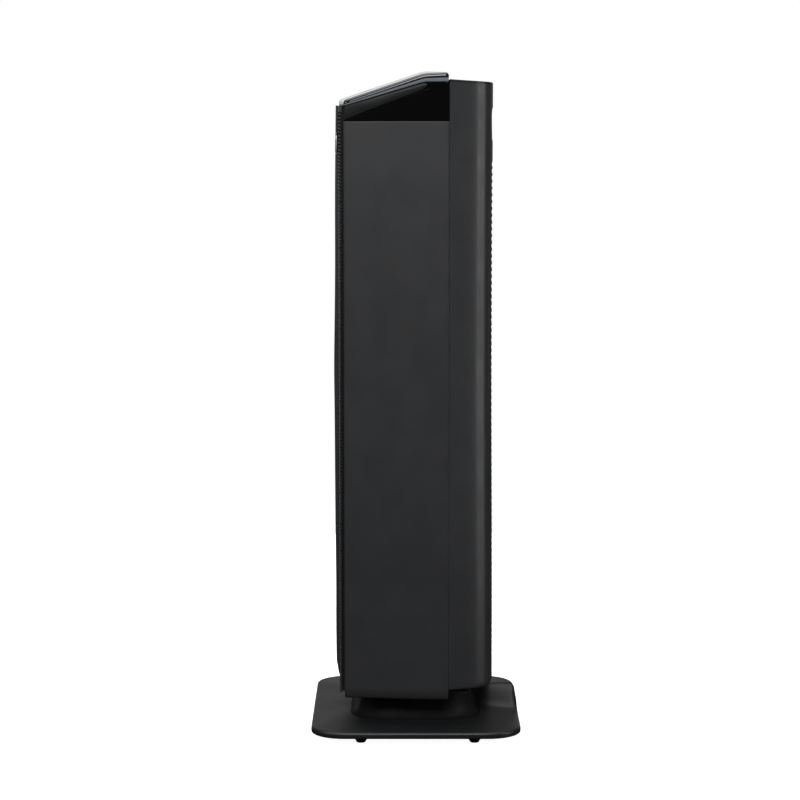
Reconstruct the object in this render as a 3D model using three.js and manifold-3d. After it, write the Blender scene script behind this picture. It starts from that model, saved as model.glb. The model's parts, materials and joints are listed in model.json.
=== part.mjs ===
// A tower air purifier on a pedestal base, as the separate pieces that it comes apart into.
// Millimetres. X runs left to right seen from the front, Y from the front to the back, Z up from the floor.
import * as THREE from 'three';
import { mergeVertices } from 'three/addons/utils/BufferGeometryUtils.js';
import Module from 'manifold-3d';

const wasm = await Module();
wasm.setup();

// ---- driving dimensions ----
const HEIGHT = 711; // floor to the crown of the cap
const GAP = 0.3; // air left between pieces that touch
const WALL = 2.5; // moulded wall thickness

const BASE_HALF_X = 140;
const BASE_HALF_Y = 112;
const BASE_CORNER = 36;
const RIM_BOTTOM = 8.8;
const RIM_TOP = 15.6;
const BASE_TOP = 19; // top of the base at the foot of its neck
const NECK_TOP = 49.5;
const HUMP_TOP = 39; // crown of the ridge that covers the cord

const BODY_FRONT = -76; // front edge of the side panels
const SEAM = 34.3; // joint between the side panels and the rear casing
const CREASE = 12; // where the side panels stop widening
const HALF_FRONT = 110; // half width of the body at the front edge
const HALF_SEAM = 120; // half width of the body from the crease to the seam
const PANEL_BOTTOM = 47.3;
const PANEL_TOP = 656.9;
const CASING_BOTTOM = 56.5;
const CASING_TOP = 700.5; // top of the rear casing's trim at the seam
const CASING_FALL = 2.8; // how far that top falls to the rear
const CASING_BACK = 82.4;

const GRILLE_TOP = 673;
const GRILLE_FRONT = -84.6; // front of the ribs at the centre
const GRILLE_BOW = 6; // how far the ribs fall back at their ends
const SPINE_RISE = 2.9; // how far the spine stands in front of the ribs
const GRILLE_HALF = 103;

const KINK = 7.8; // where the cap's slope meets its flat
const SLOPE = 0.3407; // rise of the cap per millimetre of depth
const CROWN = 4.2; // rise of the cap from its edges to its middle
const CAP_FRONT = -75.6; // front corners of the cap
const CAP_BOW = 6; // how far the cap's front edge bows out

const DOOR_HALF = 91.6;
const DOOR_BOTTOM = 64;
const DOOR_TOP = 684;
const DOOR_PIVOT_Y = 75.4;
const DOOR_PIVOT_Z = 69;
const RECESS_BOTTOM = 638; // finger recess of the door
const RECESS_TOP = 670;
const RECESS_HALF = 80;

const FAN_Y = -25;
const FAN_RADIUS = 38;
const FAN_BOTTOM = 116;
const FAN_TOP = 632;
const SHAFT_RADIUS = 3;
const LOWER_BULKHEAD = 107;
const UPPER_BULKHEAD = 643;

const BUTTON_RADIUS = 7;
const BUTTON_SPACING = 30;
const SMALL_SEGMENTS = 16;

// ---- colours, roughness and metalness ----
const finish = (color, roughness, metalness = 0) => ({ color, roughness, metalness });
const SATIN_BLACK = finish(0x26272a, 0.5);
const BASE_BLACK = finish(0x1d1e20, 0.4);
const GLOSS_BLACK = finish(0x050506, 0.12);
const SMOKE = finish(0x14161a, 0.08);
const BEZEL_GREY = finish(0x232527, 0.42);
const SILVER = finish(0xb9bbbd, 0.3, 1);
const INNER_PLASTIC = finish(0x3a3c3e, 0.6);
const STEEL = finish(0x9a9c9e, 0.35, 1);
const RUBBER = finish(0x101010, 0.85);
const BOARD_GREEN = finish(0x1f4d2e, 0.5);
const FILTER_WHITE = finish(0xe4e3dc, 0.9);
const CARBON = finish(0x161616, 0.95);
const BRASS = finish(0xb08d4a, 0.35, 1);

const purifier = new THREE.Group();

// ---- turning geometry into solids and back ----
function solid(geometry) {
  const bare = geometry.index ? geometry.toNonIndexed() : geometry.clone();
  bare.deleteAttribute('normal');
  bare.deleteAttribute('uv');
  const merged = mergeVertices(bare, 1e-4);
  return new wasm.Manifold(
    new wasm.Mesh({
      numProp: 3,
      vertProperties: new Float32Array(merged.attributes.position.array),
      triVerts: new Uint32Array(merged.index.array),
    }),
  );
}

function geometryOf(body) {
  const mesh = body.getMesh();
  const geometry = new THREE.BufferGeometry();
  geometry.setAttribute('position', new THREE.BufferAttribute(new Float32Array(mesh.vertProperties), 3));
  geometry.setIndex(new THREE.BufferAttribute(new Uint32Array(mesh.triVerts), 1));
  geometry.computeVertexNormals();
  return geometry;
}

const join = (...bodies) => bodies.reduce((sum, body) => sum.add(body));
const cut = (body, ...tools) => tools.reduce((rest, tool) => rest.subtract(tool), body);

function piece(name, body, look) {
  const mesh = new THREE.Mesh(geometryOf(body), new THREE.MeshStandardMaterial(look));
  mesh.name = name;
  purifier.add(mesh);
}

// ---- outlines and basic solids ----
const point = (x, y) => new THREE.Vector2(x, y);

const shapeOf = (points) => new THREE.Shape(points);

const rectangle = (x0, y0, x1, y1) => [point(x0, y0), point(x1, y0), point(x1, y1), point(x0, y1)];

function circle(radius, x = 0, y = 0, segments = SMALL_SEGMENTS) {
  const step = (2 * Math.PI) / segments;
  return Array.from({ length: segments }, (_, i) =>
    point(x + radius * Math.cos(i * step), y + radius * Math.sin(i * step)),
  );
}

function roundedRectangle(halfX, halfY, radius, perCorner = 6, centreX = 0, centreY = 0) {
  const points = [];
  const corners = [[1, 1], [-1, 1], [-1, -1], [1, -1]];
  corners.forEach(([sx, sy], k) => {
    for (let i = 0; i <= perCorner; i += 1) {
      const angle = ((k + i / perCorner) * Math.PI) / 2;
      const x = sx * (halfX - radius) + radius * Math.cos(angle);
      const y = sy * (halfY - radius) + radius * Math.sin(angle);
      points.push(point(centreX + x, centreY + y));
    }
  });
  return points;
}

const mirrored = (points) => points.map((p) => point(-p.x, p.y)).reverse();

function extrude(shape, depth) {
  return new THREE.ExtrudeGeometry(shape, { depth, bevelEnabled: false, curveSegments: 1 });
}

// An outline in X and Y, raised from z0 to z1.
function upright(points, z0, z1, holes = []) {
  const body = solid(extrude(shapeOf(points), z1 - z0).translate(0, 0, z0));
  return cut(body, ...holes.map((hole) => upright(hole, z0 - 1, z1 + 1)));
}

// An outline in Y and Z, run from x0 to x1.
function acrossX(points, x0, x1, holes = []) {
  const turn = new THREE.Matrix4().makeBasis(
    new THREE.Vector3(0, 1, 0),
    new THREE.Vector3(0, 0, 1),
    new THREE.Vector3(1, 0, 0),
  );
  const body = solid(extrude(shapeOf(points), x1 - x0).applyMatrix4(turn).translate(x0, 0, 0));
  return cut(body, ...holes.map((hole) => acrossX(hole, x0 - 1, x1 + 1)));
}

// An outline in X and Z, run from y0 back to y1.
function backward(points, y0, y1, holes = []) {
  const body = solid(extrude(shapeOf(points), y1 - y0).rotateX(Math.PI / 2).translate(0, y1, 0));
  return cut(body, ...holes.map((hole) => backward(hole, y0 - 1, y1 + 1)));
}

function box(x0, x1, y0, y1, z0, z1) {
  const geometry = new THREE.BoxGeometry(x1 - x0, y1 - y0, z1 - z0);
  return solid(geometry.translate((x0 + x1) / 2, (y0 + y1) / 2, (z0 + z1) / 2));
}

function rod(radius, x, y, z0, z1, segments = SMALL_SEGMENTS) {
  const geometry = new THREE.CylinderGeometry(radius, radius, z1 - z0, segments);
  return solid(geometry.rotateX(Math.PI / 2).translate(x, y, (z0 + z1) / 2));
}

function rodAlongX(radius, x0, x1, y, z, segments = SMALL_SEGMENTS) {
  const geometry = new THREE.CylinderGeometry(radius, radius, x1 - x0, segments);
  return solid(geometry.rotateZ(Math.PI / 2).translate((x0 + x1) / 2, y, z));
}

function rodAlongY(radius, x, y0, y1, z, segments = SMALL_SEGMENTS) {
  const geometry = new THREE.CylinderGeometry(radius, radius, y1 - y0, segments);
  return solid(geometry.translate(x, (y0 + y1) / 2, z));
}

// A profile of radius and height, turned about an upright axis.
function turned(profile, x, y, segments = SMALL_SEGMENTS) {
  const geometry = new THREE.LatheGeometry(profile.map(([r, z]) => point(r, z)), segments);
  return solid(geometry.rotateX(Math.PI / 2).translate(x, y, 0));
}

// Rings of equal count joined one to the next, with a flat end on the first and the last.
function loft(rings) {
  const count = rings[0].length;
  const positions = rings.flat();
  const faces = [];
  for (let i = 0; i < rings.length - 1; i += 1) {
    for (let j = 0; j < count; j += 1) {
      const next = (j + 1) % count;
      const [a, b] = [i * count + j, i * count + next];
      faces.push([a, b, b + count], [a, b + count, a + count]);
    }
  }
  [0, rings.length - 1].forEach((i) => {
    const centre = rings[i].reduce((sum, p) => sum.clone().add(p)).divideScalar(count);
    positions.push(centre);
    for (let j = 0; j < count; j += 1) {
      const edge = [i * count + j, i * count + ((j + 1) % count)];
      faces.push(i === 0 ? [positions.length - 1, edge[1], edge[0]] : [positions.length - 1, ...edge]);
    }
  });
  const corner = (k) => positions[k];
  const volume = faces.reduce(
    (sum, [a, b, c]) => sum + corner(a).dot(new THREE.Vector3().crossVectors(corner(b), corner(c))),
    0,
  );
  const outward = volume < 0 ? faces.map(([a, b, c]) => [a, c, b]) : faces;
  const geometry = new THREE.BufferGeometry();
  const flat = outward.flat().flatMap((k) => [corner(k).x, corner(k).y, corner(k).z]);
  geometry.setAttribute('position', new THREE.BufferAttribute(new Float32Array(flat), 3));
  return solid(geometry);
}

const ringAt = (points, z) => points.map((p) => new THREE.Vector3(p.x, p.y, z));

function wire(radius, points, steps) {
  const knots = points.map((p) => new THREE.Vector3(...p));
  const path = new THREE.CatmullRomCurve3(knots, false, 'catmullrom', 0.2);
  const section = new THREE.Shape(circle(radius, 0, 0, 8));
  return solid(new THREE.ExtrudeGeometry(section, { extrudePath: path, steps, bevelEnabled: false }));
}

// ---- outlines of the body, seen from above ----
const halfWidthAt = (y) =>
  y > CREASE ? HALF_SEAM : HALF_FRONT + ((HALF_SEAM - HALF_FRONT) * (y - BODY_FRONT)) / (CREASE - BODY_FRONT);

// The rear casing's right half, from the seam round the corner to the middle of the back.
function casingOutline(inset, back = CASING_BACK - inset) {
  const side = HALF_SEAM - 0.4 - inset;
  const curve = new THREE.SplineCurve([
    point(side, SEAM + GAP),
    point(side - 8.4, SEAM + 24),
    point(side - 14, back - 14.4 + inset * 0.4),
    point(side - 21.5, back - 7.5),
    point(side - 40.5, back - 2.2),
    point(side - 70, back - 0.8),
    point(0, back),
  ]);
  return curve.getPoints(12);
}

function casingBlock(inset, z0, z1, front = SEAM + GAP) {
  const right = casingOutline(inset);
  right[0].y = front;
  const left = mirrored(right).slice(1);
  return upright([...right, ...left], z0, z1);
}

// ---- base ----
const baseOutline = (inset, perCorner = 6) =>
  roundedRectangle(BASE_HALF_X - inset, BASE_HALF_Y - inset, BASE_CORNER - Math.min(inset, 12), perCorner);
const neckOutline = (grow) => roundedRectangle(82 + grow, 59 + grow, 30 + grow, 5, 0, 1);

// Cross-section of the cord ridge at one depth: a bell that spreads towards the rear.
function humpRing(y, grow) {
  const halfWidth = 30 + (16 * (y - 40)) / (BASE_HALF_Y - 40) + grow;
  const ring = [];
  for (let i = 0; i <= 12; i += 1) {
    const t = -1 + i / 6;
    const bell = (0.5 + 0.5 * Math.cos(Math.PI * t)) ** 1.15;
    const z = RIM_TOP - 1 + (HUMP_TOP + grow - RIM_TOP + 1) * bell;
    ring.push(new THREE.Vector3(halfWidth * t, y, z));
  }
  ring.push(new THREE.Vector3(halfWidth, y, RIM_BOTTOM + 1));
  ring.push(new THREE.Vector3(-halfWidth, y, RIM_BOTTOM + 1));
  return ring;
}

const CHANNEL_RADIUS = 13;
const GLAND_Y = 12;
const BASE_SCREWS = [[-58, -34], [58, -34], [-58, 36], [58, 36]];

function makeBase() {
  const plate = loft([
    ringAt(baseOutline(0), RIM_BOTTOM),
    ringAt(baseOutline(0), RIM_TOP - 1.6),
    ringAt(baseOutline(1.6), RIM_TOP),
    ringAt(baseOutline(48), BASE_TOP),
  ]);
  const neck = loft([
    ringAt(neckOutline(12), RIM_TOP + 1),
    ringAt(neckOutline(6), BASE_TOP + 1.5),
    ringAt(neckOutline(2), BASE_TOP + 7),
    ringAt(neckOutline(0), BASE_TOP + 14),
    ringAt(neckOutline(0), NECK_TOP),
  ]);
  const humpEnd = humpRing(BASE_HALF_Y, -1);
  const hump = loft([humpRing(40, 0), humpRing(75, 0), humpRing(BASE_HALF_Y - 1.6, 0), humpEnd]);
  const underside = loft([
    ringAt(baseOutline(3), 0),
    ringAt(baseOutline(3), RIM_TOP - 2.8),
    ringAt(baseOutline(48), BASE_TOP - 3),
  ]);
  const neckHollow = upright(neckOutline(-3), 0, NECK_TOP - 4);
  const channel = rodAlongY(CHANNEL_RADIUS, 0, 30, BASE_HALF_Y + 5, CHANNEL_RADIUS + RIM_BOTTOM + 0.5);
  const channelRoof = CHANNEL_RADIUS + RIM_BOTTOM;
  const channelFoot = box(-CHANNEL_RADIUS, CHANNEL_RADIUS, 30, BASE_HALF_Y + 5, 0, channelRoof);
  const posts = BASE_SCREWS.map(([x, y]) => rod(6, x, y, 11.6, NECK_TOP - 2, 12));
  const holes = BASE_SCREWS.map(([x, y]) => rod(2.6, x, y, 5, NECK_TOP + 5, 12));
  const cordHole = rod(15, 0, GLAND_Y, NECK_TOP - 8, NECK_TOP + 2);
  const cover = cut(join(plate, neck, hump), underside, neckHollow, channel, channelFoot, cordHole);
  piece('base_cover', cut(join(cover, ...posts), ...holes), BASE_BLACK);

  const slot = rectangle(-CHANNEL_RADIUS, 30, CHANNEL_RADIUS, BASE_HALF_Y - 12);
  const screwHoles = BASE_SCREWS.map(([x, y]) => circle(2.6, x, y, 12));
  piece('base_bottom_plate', upright(baseOutline(3.6, 5), 9.2, 11.2, [slot, ...screwHoles]), INNER_PLASTIC);

  const names = ['front_left', 'front_right', 'rear_left', 'rear_right'];
  const places = [[-115, -58.6], [115, -58.6], [-115, 62.3], [115, 62.3]];
  names.forEach((name, i) => {
    const [x, y] = places[i];
    const pad = turned([[0, 0], [4.6, 0], [6.7, 3.6], [6.7, 8.9], [0, 8.9]], x, y);
    piece(`foot_${name}`, pad, RUBBER);
  });

  BASE_SCREWS.forEach(([x, y], i) => {
    const profile = [[0, 5.8], [4.4, 5.8], [4.4, 8.9], [1.9, 8.9], [1.9, 55], [0, 55]];
    piece(`base_screw_${i + 1}`, turned(profile, x, y, 12), STEEL);
  });
}

// ---- side panels ----
function makeSidePanels() {
  const lip = 6;
  const outer = [
    point(HALF_FRONT - lip, BODY_FRONT),
    point(HALF_FRONT - 0.8, BODY_FRONT),
    point(halfWidthAt(BODY_FRONT + 1), BODY_FRONT + 1),
    point(HALF_SEAM - 1.2, CREASE - 10),
    point(HALF_SEAM - 0.2, CREASE),
    point(HALF_SEAM, SEAM),
    point(HALF_SEAM - WALL, SEAM),
    point(HALF_SEAM - 0.2 - WALL, CREASE),
    point(halfWidthAt(BODY_FRONT + WALL) - WALL, BODY_FRONT + WALL),
    point(HALF_FRONT - lip, BODY_FRONT + WALL),
  ];
  const inside = [
    point(HALF_FRONT - lip, BODY_FRONT),
    point(HALF_FRONT - 3, BODY_FRONT),
    point(HALF_SEAM - 2, CREASE),
    point(HALF_SEAM - 2, SEAM),
    point(107, SEAM),
    point(107, BODY_FRONT + WALL),
  ];
  const wall = upright(outer, PANEL_BOTTOM + 1, PANEL_TOP);
  const floor = upright(inside, PANEL_BOTTOM, PANEL_BOTTOM + 2.4);
  piece('right_side_panel', join(wall, floor), SATIN_BLACK);
  const leftWall = upright(mirrored(outer), PANEL_BOTTOM + 1, PANEL_TOP);
  const leftFloor = upright(mirrored(inside), PANEL_BOTTOM, PANEL_BOTTOM + 2.4);
  piece('left_side_panel', join(leftWall, leftFloor), SATIN_BLACK);
}

// ---- inner structure ----
const INNER_WALL = 104; // outside of the inner side walls
const GRID_Y = 27; // front of the filter grid
const PAN_BOTTOM = 49.9;
const PAN_TOP = 52.5;

function makeInnerStructure() {
  const panHoles = [circle(8.4, 0, GLAND_Y), ...BASE_SCREWS.map(([x, y]) => circle(2.2, x, y, 12))];
  const pan = upright(rectangle(-INNER_WALL, -73, INNER_WALL, 55), PAN_BOTTOM, PAN_TOP, panHoles);
  const bossAt = ([x, y]) => cut(rod(5, x, y, PAN_TOP - 1, 56, 12), rod(2.2, x, y, 40, 70, 12));
  const bosses = BASE_SCREWS.map(bossAt);
  piece('bottom_pan', join(pan, ...bosses), INNER_PLASTIC);

  const leadHole = circle(8, -52, 648, 12);
  [['right', 1], ['left', -1]].forEach(([side, sign]) => {
    const wall = rectangle(-72.5, PAN_TOP + GAP, GRID_Y - GAP, 656);
    const x = sign * (INNER_WALL - 1);
    const holes = sign < 0 ? [leadHole, circle(8, -40, 78, 12)] : [];
    piece(`${side}_inner_wall`, acrossX(wall, x - 1, x + 1, holes), INNER_PLASTIC);
  });

  const windows = [];
  const [columns, rows] = [2, 8];
  const [wide, tall] = [168 / columns, 540 / rows];
  for (let c = 0; c < columns; c += 1) {
    for (let r = 0; r < rows; r += 1) {
      const [x, z] = [-84 + c * wide, 80 + r * tall];
      windows.push(rectangle(x + 2, z + 2, x + wide - 2, z + tall - 2));
    }
  }
  const screwHoles = [-82, 82].map((x) => circle(2, x, 646, 12));
  const grid = rectangle(-INNER_WALL, PAN_TOP + GAP, INNER_WALL, 655);
  piece('filter_grid', backward(grid, GRID_Y, GRID_Y + 3, [...windows, ...screwHoles]), INNER_PLASTIC);

  const inside = INNER_WALL - 2 - GAP;
  const deck = rectangle(-inside, -72, inside, GRID_Y - GAP);
  const lower = upright(deck, LOWER_BULKHEAD, LOWER_BULKHEAD + 2.5, [circle(9, 0, FAN_Y)]);
  piece('lower_bulkhead', lower, INNER_PLASTIC);
  const upper = upright(deck, UPPER_BULKHEAD, UPPER_BULKHEAD + 2.5, [circle(9.3, 0, FAN_Y)]);
  piece('upper_bulkhead', upper, INNER_PLASTIC);
}

// A sheet of even thickness that follows a line seen from above.
function sheetAlong(points, thickness) {
  const offset = (sign) =>
    points.map((p, i) => {
      const [before, after] = [points[Math.max(i - 1, 0)], points[Math.min(i + 1, points.length - 1)]];
      const along = after.clone().sub(before).normalize();
      return point(p.x - (sign * along.y * thickness) / 2, p.y + (sign * along.x * thickness) / 2);
    });
  return [...offset(-1), ...offset(1).reverse()];
}

function makeDuct() {
  const [bottom, top] = [LOWER_BULKHEAD + 2.5 + GAP, UPPER_BULKHEAD - GAP];
  const [nearest, widest, steps] = [FAN_RADIUS + 6, 102, 10];
  const spiral = [];
  for (let i = 0; i <= steps; i += 1) {
    const angle = ((130 + (76.6 * i) / steps) * Math.PI) / 180;
    const radius = nearest * (widest / nearest) ** (i / steps);
    spiral.push(point(radius * Math.cos(angle), FAN_Y + radius * Math.sin(angle)));
  }
  const closing = sheetAlong([point(-99, GRID_Y - 3), spiral[0]], 2);
  const scroll = join(upright(sheetAlong(spiral, 2), bottom, top), upright(closing, bottom, top));
  piece('scroll_wall', scroll, INNER_PLASTIC);
  const lip = [point(46, -4), point(44.5, -18), point(48, -30)];
  const tongue = [point(99, GRID_Y - 3), point(62, 8), ...lip, point(92, -71)];
  piece('vortex_tongue', upright(sheetAlong(tongue, 2), bottom, top), INNER_PLASTIC);
}

// ---- front grille, spine and badge ----
const grilleFrontAt = (x) => GRILLE_FRONT + GRILLE_BOW * (x / GRILLE_HALF) ** 2;

function grilleArc(half, offset, segments) {
  return Array.from({ length: segments + 1 }, (_, i) => {
    const x = -half + (2 * half * i) / segments;
    return point(x, grilleFrontAt(x) + offset);
  });
}

function makeFront() {
  const [bottom, thickness, segments] = [PANEL_BOTTOM + 4, 2.6, 8];
  const inside = grilleArc(GRILLE_HALF, thickness, segments).reverse();
  const face = [...grilleArc(GRILLE_HALF, 0, segments), ...inside];
  const sheet = upright(face, bottom, GRILLE_TOP);
  const flange = [-1, 1].map((s) => box(s * 99 - 1.2, s * 99 + 1.2, -78.5, -73, bottom, GRILLE_TOP - 16));
  const rows = 14;
  const pitch = (GRILLE_TOP - bottom - 20) / rows;
  const slots = [];
  for (let i = 0; i < rows; i += 1) {
    const z = bottom + 10 + i * pitch;
    slots.push(box(15, 95, -90, -70, z, z + pitch - 6));
    slots.push(box(-95, -15, -90, -70, z, z + pitch - 6));
  }
  piece('front_grille', cut(join(sheet, ...flange), ...slots), SATIN_BLACK);

  const half = 13;
  const spine = [
    point(-half, GRILLE_FRONT - GAP),
    point(-half + 2, GRILLE_FRONT - 1.9),
    point(-half / 2, GRILLE_FRONT - SPINE_RISE + 0.3),
    point(0, GRILLE_FRONT - SPINE_RISE),
    point(half / 2, GRILLE_FRONT - SPINE_RISE + 0.3),
    point(half - 2, GRILLE_FRONT - 1.9),
    point(half, GRILLE_FRONT - GAP),
  ];
  piece('front_spine', upright(spine, bottom - 1, GRILLE_TOP + 1), SATIN_BLACK);

  const oval = circle(1, 0, 0, 28).map((p) => point(8 * p.x, 633.6 + 10.8 * p.y));
  const front = GRILLE_FRONT - SPINE_RISE - GAP;
  piece('badge', backward(oval, front - 0.9, front), SILVER);
}

// ---- head, bezel and cap ----
const EDGE_AT_KINK = 706.6;
const edgeHeight = (y) => EDGE_AT_KINK + (y - KINK) * (y < KINK ? SLOPE * 0.982 : 0.12);
const crownAt = (y) => CROWN * (1 - (0.6 * Math.max(0, y - KINK)) / (SEAM - KINK));
const skirtHeight = (y) => (y < KINK ? 697.3 + (y - KINK) * 0.288 : 697.5);
const bezelHeight = (y) => 658.9 + (y + 73) * 0.3734;

// One cross-section of the cap, inset all round; share runs from 0 at the front to 1 at the rear.
function capRing(share, inset) {
  const count = 12;
  const rear = SEAM - 0.8 - inset;
  const ring = [];
  const along = (x, half) => {
    const front = CAP_FRONT + inset - CAP_BOW * (1 - (x / half) ** 2);
    return front + (rear - front) * share;
  };
  const middle = CAP_FRONT + (rear - CAP_FRONT) * share;
  const half = halfWidthAt(Math.max(middle, BODY_FRONT)) - inset;
  const rearRound = share > 0.999 ? 4 : 0;
  for (let i = 0; i <= count; i += 1) {
    const t = -1 + (2 * i) / count;
    const x = half * Math.sin((t * Math.PI) / 2);
    const y = along(x, half);
    const shoulder = 3.2 * Math.max(0, (Math.abs(x) - half + 4) / 4) ** 2;
    const crown = crownAt(y) * (1 - (x / half) ** 2);
    const top = Math.min(edgeHeight(y) + crown, HEIGHT);
    ring.push(new THREE.Vector3(x, y, top - inset - shoulder - rearRound));
  }
  const foot = skirtHeight(middle) - (inset > 0 ? 4 : 0);
  ring.push(new THREE.Vector3(half, along(half, half), foot));
  ring.push(new THREE.Vector3(-half, along(half, half), foot));
  return ring;
}

function capBlock(inset) {
  const kinkShare = (KINK - CAP_FRONT) / (SEAM - 0.8 - CAP_FRONT);
  const shares = [0, 0.25, 0.5, kinkShare - 0.01, kinkShare + 0.03, 0.97, 1];
  return loft(shares.map((share) => capRing(share, inset)));
}

// A frame on the sloped face: u across, v up the slope, w out of the face.
const slopeAngle = Math.atan(SLOPE);
const slopeOrigin = new THREE.Vector3(0, -34, edgeHeight(-34) + CROWN);
function onSlope(geometry, u, v, w) {
  const place = new THREE.Matrix4().makeRotationX(slopeAngle);
  return solid(geometry.translate(u, v, w).applyMatrix4(place).translate(...slopeOrigin.toArray()));
}

function slopePlate(points, v, w0, w1) {
  return onSlope(extrude(shapeOf(points), w1 - w0), 0, v, w0);
}

const WINDOW_V = 16;
const BUTTON_V = -20;
const BUTTON_NAMES = ['timer_button', 'speed_button', 'power_button', 'mode_button', 'filter_reset_button'];

function makeHead() {
  const outlineAt = (inset) => [
    point(-halfWidthAt(-73) + 2.2 + inset, -73 + inset),
    point(halfWidthAt(-73) - 2.2 - inset, -73 + inset),
    point(HALF_SEAM - 2.2 - inset, CREASE),
    point(HALF_SEAM - 2.2 - inset, SEAM - GAP - Math.max(inset, 0)),
    point(-HALF_SEAM + 2.2 + inset, SEAM - GAP - Math.max(inset, 0)),
    point(-HALF_SEAM + 2.2 + inset, CREASE),
  ];
  const roof = [
    point(-100, skirtHeight(-100) - 2 * GAP),
    point(KINK, skirtHeight(KINK) - 2 * GAP),
    point(60, skirtHeight(KINK) - 2 * GAP),
    point(60, 760),
    point(-100, 760),
  ];
  const aboveBezelFoot = [
    point(-100, bezelHeight(-100) - GAP),
    point(12.4, bezelHeight(12.4) - GAP),
    point(12.4, skirtHeight(KINK) - 2 * GAP),
    point(60, skirtHeight(KINK) - 2 * GAP),
    point(60, 760),
    point(-100, 760),
  ];
  const recessed = cut(upright(outlineAt(0), PANEL_TOP + GAP, 704), acrossX(roof, -130, 130));
  const flush = cut(upright(outlineAt(-1.9), PANEL_TOP + GAP, 704), acrossX(aboveBezelFoot, -130, 130));
  const front = box(-130, 130, -90, -73, 640, 720);
  const hollow = upright(outlineAt(WALL), PANEL_TOP - 5, 720);
  const head = cut(join(recessed, flush), hollow, front);
  piece('control_head', head, GLOSS_BLACK);

  // The bezel is a wedge on each side, joined by a bar behind the top of the grille.
  const wedge = [
    point(-74.6, bezelHeight(-74.6)),
    point(4, bezelHeight(4)),
    point(9.5, bezelHeight(9.5) + 1.2),
    point(12, bezelHeight(12) + 3.2),
    point(10, skirtHeight(10) - 1.8),
    point(KINK, skirtHeight(KINK) - 2 * GAP),
    point(-74.6, skirtHeight(-74.6) - 2 * GAP),
  ];
  const sideways = (y, inset) => halfWidthAt(y) - inset;
  const prism = (sign) => {
    const ring = (inset) => wedge.map((p) => new THREE.Vector3(sign * sideways(p.x, inset), p.x, p.y));
    return loft([ring(0.2), ring(1.9)]);
  };
  const bar = box(-107.8, 107.8, -75.7, -73.3, PANEL_TOP + 1.2, 671);
  const ends = [-1, 1].map((s) => box(s * 107.6 - 1.6, s * 107.6 + 1.6, -76.2, -74, PANEL_TOP + 1.4, 672.9));
  piece('control_bezel', join(prism(1), prism(-1), bar, ...ends), BEZEL_GREY);
}

function makeCap() {
  const buttonHoles = BUTTON_NAMES.map((_, i) => {
    const hole = new THREE.CylinderGeometry(BUTTON_RADIUS + GAP, BUTTON_RADIUS + GAP, 20, SMALL_SEGMENTS);
    return onSlope(hole.rotateX(Math.PI / 2), (i - 2) * BUTTON_SPACING, BUTTON_V, 0);
  });
  const windowHole = slopePlate(roundedRectangle(38 + GAP, 12 + GAP, 4, 4), WINDOW_V, -10, 10);
  const shell = cut(capBlock(0), capBlock(WALL), windowHole, ...buttonHoles);
  piece('top_cap', shell, SMOKE);
  piece('display_window', slopePlate(roundedRectangle(38, 12, 3.7, 4), WINDOW_V, -3.2, -0.4), GLOSS_BLACK);

  BUTTON_NAMES.forEach((name, i) => {
    const u = (i - 2) * BUTTON_SPACING;
    const sink = CROWN * (u / 115) ** 2;
    const button = new THREE.CylinderGeometry(BUTTON_RADIUS, BUTTON_RADIUS, 3.4, SMALL_SEGMENTS);
    const stem = new THREE.CylinderGeometry(2, 2, 4.4, 10);
    const crown = onSlope(button.rotateX(Math.PI / 2), u, BUTTON_V, -1.4 - sink);
    piece(name, join(crown, onSlope(stem.rotateX(Math.PI / 2), u, BUTTON_V, -5 - sink)), GLOSS_BLACK);
  });

  const board = slopePlate(roundedRectangle(84, 34, 3, 2), -2, -13.4, -11.8);
  const switches = BUTTON_NAMES.map((_, i) =>
    slopePlate(rectangle((i - 2) * 30 - 3, -3, (i - 2) * 30 + 3, 3), BUTTON_V, -12.2, -10.4),
  );
  const display = slopePlate(rectangle(-34, -9, 34, 9), WINDOW_V, -12.2, -5.2);
  piece('control_board', join(board, ...switches, display), BOARD_GREEN);
}

// ---- rear casing and its door ----
const casingTopAt = (y) => CASING_TOP - (CASING_FALL * (y - SEAM)) / (CASING_BACK - SEAM);
const slantCut = (drop) =>
  acrossX(
    [
      point(SEAM - 20, casingTopAt(SEAM - 20) - drop),
      point(120, casingTopAt(120) - drop),
      point(120, 760),
      point(SEAM - 20, 760),
    ],
    -140,
    140,
  );

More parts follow.
